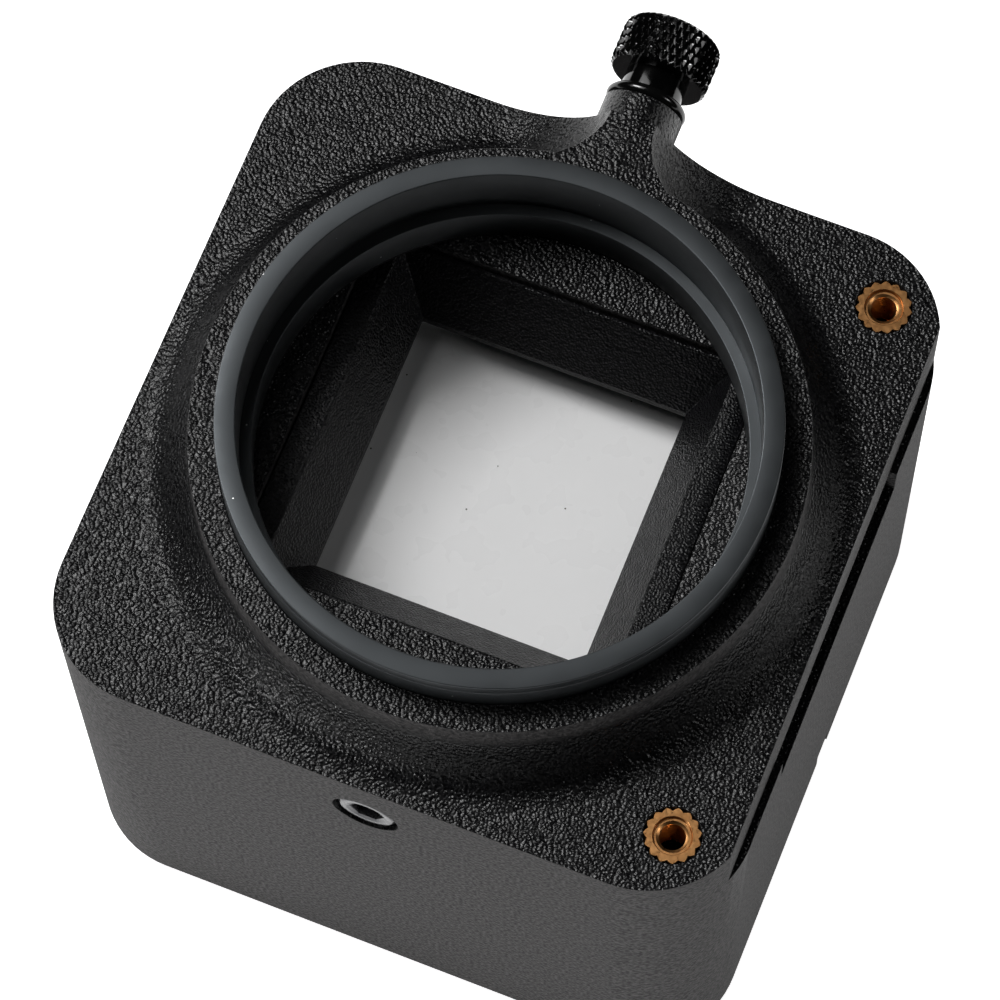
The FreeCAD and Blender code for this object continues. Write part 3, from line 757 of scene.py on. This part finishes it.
@dataclass
class Thumbscrew:
    """Knurled head, polished neck and shank, and the rubber ring under the shoulder."""

    columns: int = 800        # 20 for each knurl
    knurls: int = 40
    knurl_length: float = 2.5
    knurl_depth: float = 0.5
    knurl_rows: int = 84
    chamfer: float = 0.5
    hub_hollow: float = 0.25  # how far the middle of the head's end lies below its rim
    neck: float = 4.0
    section: float = 0.78     # radius of the rubber ring's section
    turn_segments: int = 128
    thread: float = 2.45      # radius of the shank
    shoulder_step: float = 0.25

    def head(self) -> Shell:
        """The head, as one surface from the middle of its inner end to the middle of its outer.

        Along the side the radius is R - depth (1 - min(p, q)), where p and q are triangle waves
        of the phases n a + y/L and n a - y/L: two crossing families of helical grooves that
        leave a pyramid between them. The depth fades out over the chamfer at each end.

        Returns:
            The head's surface.
        """
        low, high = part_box("clamp_head")
        start, end, radius = low.y / MM, high.y / MM, (high.x - low.x) / 2 / MM
        angle = np.linspace(0.0, FULL_TURN, self.columns, endpoint=False)[None, :]
        along = np.linspace(start + 0.02, end - 0.02, self.knurl_rows)[:, None]
        turns = self.knurls * angle / FULL_TURN
        rise = along / self.knurl_length
        pyramid = np.minimum(triangle_wave(turns + rise), triangle_wave(turns - rise))
        inner = np.clip((along - start) / self.chamfer, 0.0, 1.0)
        outer = np.clip((end - along) / self.chamfer, 0.0, 1.0)
        tips = np.minimum(pyramid * 1.12, 1.0)
        side = radius - self.knurl_depth * (1.0 - tips)
        limit = radius - self.knurl_depth * (1.0 - np.minimum(inner, outer)) - 0.02
        side = np.minimum(side, limit)
        share = np.array([0.3, 0.62, 0.7, 0.93])[:, None]
        plain = np.broadcast_to(radius - self.knurl_depth - 0.1, (1, self.columns))
        under = share * plain
        cap = under[::-1]
        cap_height = end - self.hub_hollow * np.array([0.0, 0.0, 1.0, 1.0])[:, None]
        radii = np.concatenate([under, side, cap])
        heights = np.concatenate([np.full((4, 1), start), along, cap_height])
        points = turned(radii, heights, (0, 0, self.axis_height()), Axis.REAR)
        z = self.axis_height()
        return Shell(points, ((0, start, z), (0, end - self.hub_hollow, z)))

    def axis_height(self) -> float:
        """Height of the screw's axis in mm."""
        low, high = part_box("clamp_head")
        return (low.z + high.z) / 2 / MM

    def shank(self) -> Shell:
        """Shank, shoulder and neck turned from one profile between two poles.

        Returns:
            Their surface.
        """
        low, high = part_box("clamp_screw")
        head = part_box("clamp_head")[0].y / MM
        seal_low, seal_high = (p.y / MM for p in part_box("clamp_o_ring"))
        start, end, thread = low.y / MM, high.y / MM, self.thread
        shoulder = self.neck - self.shoulder_step
        corners = [(0, start), (thread, start), (thread, seal_low), (shoulder, seal_low),
                   (shoulder, seal_high), (self.neck, seal_high), (self.neck, head - 0.005),
                   (thread, head - 0.005), (thread, end), (0, end)]
        sizes = [0.1, 0.4, 0.05, 0.1, 0.05, 0.18, 0.05, 0.05, 0.1, 0.1]
        steps = 5
        profile = softened(corners, sizes, steps)[steps:-steps]
        radius = np.repeat(profile[:, :1], self.turn_segments, axis=1)
        z = self.axis_height()
        return Shell(turned(radius, profile[:, 1:], (0, 0, z), Axis.REAR),
                     ((0, start, z), (0, end, z)))

    def seal(self) -> Shell:
        """The rubber ring: a circle of the section's radius carried round the shoulder.

        Returns:
            The ring's surface.
        """
        low, high = (p.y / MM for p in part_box("clamp_o_ring"))
        outer = (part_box("clamp_o_ring")[1].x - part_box("clamp_o_ring")[0].x) / 2 / MM
        turn = np.linspace(0.0, FULL_TURN, 32, endpoint=False)
        profile = np.stack([outer - self.section + self.section * np.cos(turn),
                            (low + high) / 2 + self.section * np.sin(turn)], axis=-1)
        radius = np.repeat(profile[:, :1], self.turn_segments, axis=1)
        return Shell(turned(radius, profile[:, 1:], (0, 0, self.axis_height()), Axis.REAR))

    def build(self, shop: Workshop) -> None:
        """Builds the thumbscrew's three pieces.

        Args:
            shop: The workshop that dresses and places the pieces.
        """
        shop.place(make_piece("knurled_head", [self.head()], 20.0), Body.THUMBSCREW,
                   "anodised_knob", GLOSS_ANODISED, "clamp_head")
        shop.place(make_piece("screw_shank", [self.shank()], 35.0), Body.THUMBSCREW,
                   "anodised_knob", GLOSS_ANODISED, "clamp_screw")
        shop.place(make_piece("rubber_seal_ring", [self.seal()], 60.0), Body.THUMBSCREW,
                   "o_ring_rubber", RUBBER, "clamp_o_ring")


@dataclass
class AccessoryInserts:
    """Two toothed brass inserts in the deck, threaded inside."""

    teeth: int = 15
    columns: int = 300        # 20 for each tooth
    tip: float = 3.6
    root: float = 3.14
    minor: float = 1.65
    thread_depth: float = 0.33
    pitch: float = 0.7
    mouth: float = 2.42
    step: float = 2.02
    mouth_depth: float = 0.5
    thread_rows: int = 110
    flank_bow: float = 0.8    # power that bows the teeth's flanks outwards
    turn_of_rear: float = 0.12
    turn_of_front: float = 0.4

    def insert(self, x: float, y: float, low: float, top: float, start: float) -> Shell:
        """One insert, as one closed surface.

        Outside, the radius runs from root to tip as a triangle wave of the tooth's phase, with
        flanks bowed out by a power below one. Inside, it is the minor radius plus the thread's
        depth times a triangle wave of height over pitch less angle over a turn, which is one
        helix.

        Args:
            x: Where its axis is.
            y: Where its axis is.
            low: Its lower end.
            top: Its upper face.
            start: Turn of its first tooth, in teeth.

        Returns:
            The insert's surface.
        """
        angle = np.linspace(0.0, 1.0, self.columns, endpoint=False)[None, :]
        wave = triangle_wave(self.teeth * angle + start) ** self.flank_bow
        toothed = self.root + (self.tip - self.root) * wave
        plain = np.ones_like(toothed)
        step_height = top - self.mouth_depth
        bore_top = step_height - (self.step - self.minor) * 0.5
        heights = np.linspace(bore_top, low + 0.1, self.thread_rows)[:, None]
        fade = np.clip((bore_top - heights) / 0.4, 0.0, 1.0)
        thread = self.minor + self.thread_depth * fade * triangle_wave(heights / self.pitch - angle)
        rows = [(toothed - 0.25, low), (toothed, low + 0.2), (toothed, top - 0.5),
                (toothed, top - 0.06), (toothed - 0.06, top), (plain * (self.mouth + 0.06), top),
                (plain * self.mouth, top - 0.06), (plain * (self.mouth - 0.04), step_height + 0.1),
                (plain * (self.mouth - 0.12), step_height), (plain * self.step, step_height),
                (plain * (self.step - 0.05), step_height - 0.04)]
        radii = np.concatenate([r for r, _ in rows] + [thread, plain * (self.minor + 0.1)])
        levels = np.concatenate([np.array([[h] for _, h in rows]), heights, [[low]]])
        return Shell(turned(radii, levels, (x, y, 0), Axis.UP))

    def build(self, shop: Workshop) -> None:
        """Builds both inserts as one piece, as their CAD node is.

        Args:
            shop: The workshop that dresses and places the pieces.
        """
        low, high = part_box("accessory_inserts")
        x = (low.x + high.x) / 2 / MM
        y = high.y / MM - self.tip
        ends = (low.z / MM, high.z / MM)
        pair = [self.insert(x, y, *ends, self.turn_of_rear),
                self.insert(x, -y, *ends, self.turn_of_front)]
        piece = make_piece("toothed_brass_inserts", pair, 30.0)
        shop.place(piece, Body.ROOT, "brass_inserts", BRASS, "accessory_inserts")


@dataclass
class LockScrew:
    """Grub screw in the front wall, with a hexagon socket in its outer end."""

    columns: int = 144
    across_flats: float = 4.0
    socket_depth: float = 2.7
    chamfer: float = 0.5
    pitch: float = 1.25
    thread_depth: float = 0.35
    thread_rows: int = 60
    fade: float = 0.6         # length over which the thread starts
    socket_mouth: float = 2.62
    socket_rim: float = 2.7

    def build(self, shop: Workshop) -> None:
        """Builds the screw between two poles: its socket's bottom and its inner end.

        The socket's radius is half the distance across flats over cos of the angle from the
        nearest flat's middle, and the thread outside is a helix as in the brass inserts.

        Args:
            shop: The workshop that dresses and places the pieces.
        """
        low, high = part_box("grub_screw")
        face, end = low.y / MM, high.y / MM
        z, radius = (low.z + high.z) / 2 / MM, (high.x - low.x) / 2 / MM
        turn = np.linspace(0.0, 1.0, self.columns, endpoint=False)[None, :]
        sixth = (turn * 6.0) % 1.0 - 0.5
        hexagon = self.across_flats / 2 / np.cos(sixth * FULL_TURN / 6.0)
        plain = np.ones_like(turn)
        heights = np.linspace(self.chamfer, end - face - self.chamfer,
                              self.thread_rows)[:, None]
        groove = self.thread_depth * (1.0 - triangle_wave(heights / self.pitch - turn))
        fade = np.clip((heights - self.chamfer) / self.fade, 0.0, 1.0)
        inner = [(hexagon * 0.96, self.socket_depth), (hexagon, self.socket_depth - 0.06),
                 (hexagon, 0.28), (hexagon * 1.02, 0.2), (plain * self.socket_mouth, 0.03),
                 (plain * self.socket_rim, 0.0), (plain * (radius - self.chamfer - 0.06), 0.0),
                 (plain * (radius - self.chamfer + 0.02), 0.03)]
        radii = np.concatenate([r for r, _ in inner] + [radius - groove * fade,
                                                        plain * (radius - self.chamfer)])
        depths = np.concatenate([np.array([[h] for _, h in inner]), heights, [[end - face]]])
        points = turned(radii, -depths, (0, face, z), Axis.FRONT)
        shell = Shell(points, ((0, face + self.socket_depth, z), (0, end, z)))
        shop.place(make_piece("hex_lock_screw", [shell], 30.0), Body.LOCK_SCREW,
                   "blackened_steel", BLACK_STEEL, "grub_screw")


# ---- studio --------------------------------------------------------------------------------------

@dataclass(frozen=True)
class Softbox:
    """A square studio light that looks at the middle of the box."""

    name: str
    azimuth: float            # degrees from the front (-Y) towards +X
    elevation: float
    distance: float
    size: float
    watts: float
    tint: str = "#FFFFFF"

    def build(self, target: Vector) -> None:
        """Makes the light.

        Args:
            target: What it points at.
        """
        light = bpy.data.lights.new(self.name, "AREA")
        light.shape = "SQUARE"
        light.size = self.size * MM
        light.energy = self.watts
        light.color = linear(self.tint)[:3]
        holder = bpy.data.objects.new(self.name, light)
        bpy.context.scene.collection.objects.link(holder)
        away = direction(self.azimuth, self.elevation)
        holder.location = target + away * self.distance * MM
        holder.rotation_mode = "QUATERNION"
        holder.rotation_quaternion = (-away).to_track_quat("-Z", "Y")


def direction(azimuth: float, elevation: float) -> Vector:
    """Unit vector at an azimuth from the front towards +X and an elevation, in degrees."""
    a, e = math.radians(azimuth), math.radians(elevation)
    return Vector((math.sin(a) * math.cos(e), -math.cos(a) * math.cos(e), math.sin(e)))


@dataclass
class Studio:
    """Camera, soft lights and a pale floor."""

    aim: Point = (1.73, -4.57, 73.5)
    distance: float = 605.3
    azimuth: float = 23.40
    elevation: float = 69.72
    roll: float = -1.842
    lens: float = 176.28
    floor_size: float = 3000.0
    floor_glow: float = 0.95
    floor_drop: float = 0.1
    world_glow: float = 0.04
    sensor: float = 36.0
    lights: Tuple[Softbox, ...] = (
        Softbox("key_upper_left", 254.0, 56.0, 900.0, 280.0, 5.2),
        Softbox("soft_upper_left", 258.0, 58.0, 900.0, 620.0, 2.4),
        Softbox("low_front_left", 322.0, 3.5, 700.0, 100.0, 1.6),
        Softbox("right_edge", 98.0, 34.0, 800.0, 170.0, 0.8),
    )

    def camera(self) -> None:
        """Makes the camera: it looks at its aim and is then rolled about its own axis."""
        data = bpy.data.cameras.new("studio_camera")
        data.lens = self.lens
        data.sensor_width = self.sensor
        data.clip_start, data.clip_end = 0.01, 20.0
        holder = bpy.data.objects.new("studio_camera", data)
        bpy.context.scene.collection.objects.link(holder)
        away = direction(self.azimuth, self.elevation)
        side = Vector((math.cos(math.radians(self.azimuth)),
                       math.sin(math.radians(self.azimuth)), 0.0))
        up = away.cross(side)
        turn = math.radians(self.roll)
        right = side * math.cos(turn) + up * math.sin(turn)
        upright = away.cross(right)
        place = (Vector(self.aim) + away * self.distance) * MM
        columns = Matrix((right, upright, away)).transposed().to_4x4()
        holder.matrix_world = Matrix.Translation(place) @ columns
        bpy.context.scene.camera = holder

    def floor(self) -> None:
        """A pale floor that glows a little, as a lit sweep of paper does."""
        half = self.floor_size / 2 * MM
        mesh = bpy.data.meshes.new("studio_floor")
        mesh.from_pydata([(-half, -half, 0), (half, -half, 0), (half, half, 0), (-half, half, 0)],
                         [], [(0, 1, 2, 3)])
        sheet = bpy.data.objects.new("studio_floor", mesh)
        sheet.location.z = -self.floor_drop * MM
        bpy.context.scene.collection.objects.link(sheet)
        material = bpy.data.materials.new("white_paper")
        material.use_nodes = True
        shader = material.node_tree.nodes["Principled BSDF"]
        shader.inputs["Base Color"].default_value = linear("#F0F0F0")
        shader.inputs["Roughness"].default_value = 0.9
        shader.inputs["Emission Color"].default_value = linear("#FFFFFF")
        shader.inputs["Emission Strength"].default_value = self.floor_glow
        mesh.materials.append(material)

    def build(self) -> None:
        """Sets up the whole studio over a nearly black world."""
        world = bpy.data.worlds.new("dark_studio")
        world.use_nodes = True
        world.node_tree.nodes["Background"].inputs["Color"].default_value = linear("#303236")
        world.node_tree.nodes["Background"].inputs["Strength"].default_value = self.world_glow
        bpy.context.scene.world = world
        bpy.context.scene.view_settings.view_transform = "Standard"
        target = Vector(self.aim) * MM
        for light in self.lights:
            light.build(target)
        self.floor()
        self.camera()
        LOG.info("studio has %d lights", len(self.lights))


def main() -> None:
    """Builds the object, sub-assembly by sub-assembly, and then the studio."""
    logging.basicConfig(level=logging.INFO)
    Studio().build()
    shop = Workshop()
    for group in (PrintedBody(), LensRing(), Thumbscrew(), AccessoryInserts(), LockScrew()):
        group.build(shop)
        LOG.info("%s is built", type(group).__name__)


if __name__ == "__main__":
    main()
